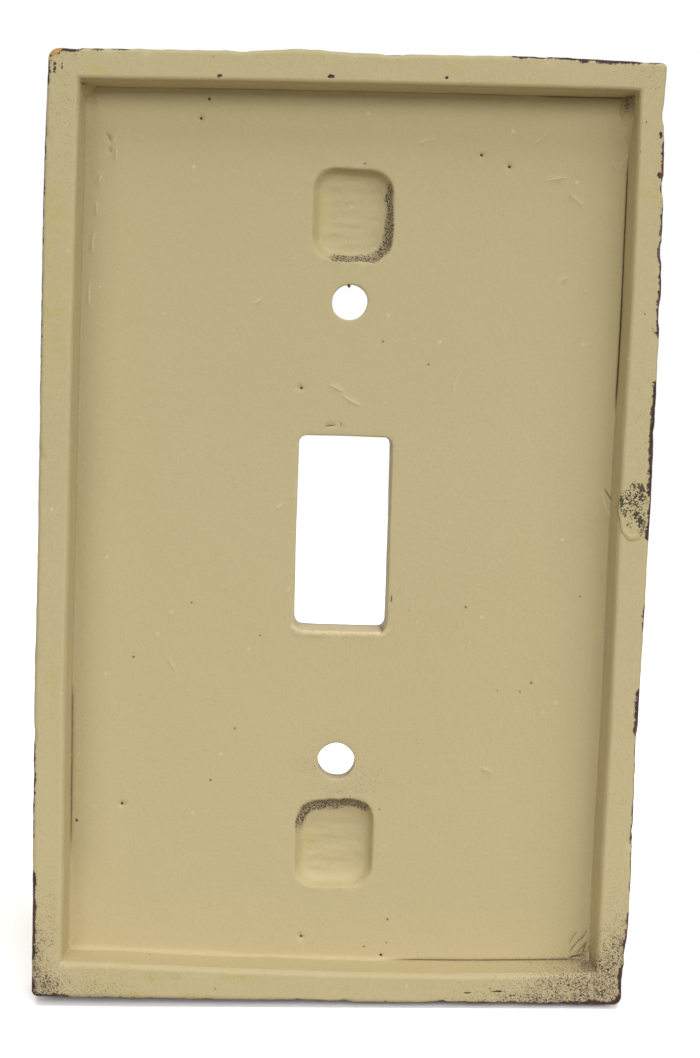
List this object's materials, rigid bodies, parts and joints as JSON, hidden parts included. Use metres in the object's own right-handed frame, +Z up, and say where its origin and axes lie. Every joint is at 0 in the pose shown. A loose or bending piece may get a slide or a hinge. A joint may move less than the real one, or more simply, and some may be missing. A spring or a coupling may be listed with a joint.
{
  "type": "toggle switch wall plate",
  "caption": "Upright rectangular cover plate with a raised frame, recessed panel, toggle slot, countersunk screw holes and blind screw-head pockets.",
  "frame": {"origin": "midway between the two plate screws, on the back face of the panel", "axes": "+Z up the plate as it is mounted, +Y out of the back towards the wall, +X across"},
  "size_m": [0.0792, 0.0114, 0.1236],
  "materials": {
    "painted_frame": "khaki paint on the back, dark red-brown antique paint on the sides and front",
    "painted_panel": "khaki paint on the back, dark red-brown antique paint on the front",
    "filler": "painted filler, rough"
  },
  "bodies": {
    "root": {"rim_frame": "painted_frame", "face_panel": "painted_panel", "filler_patch": "filler", "corner_filler": "filler"}
  },
  "joints": []
}
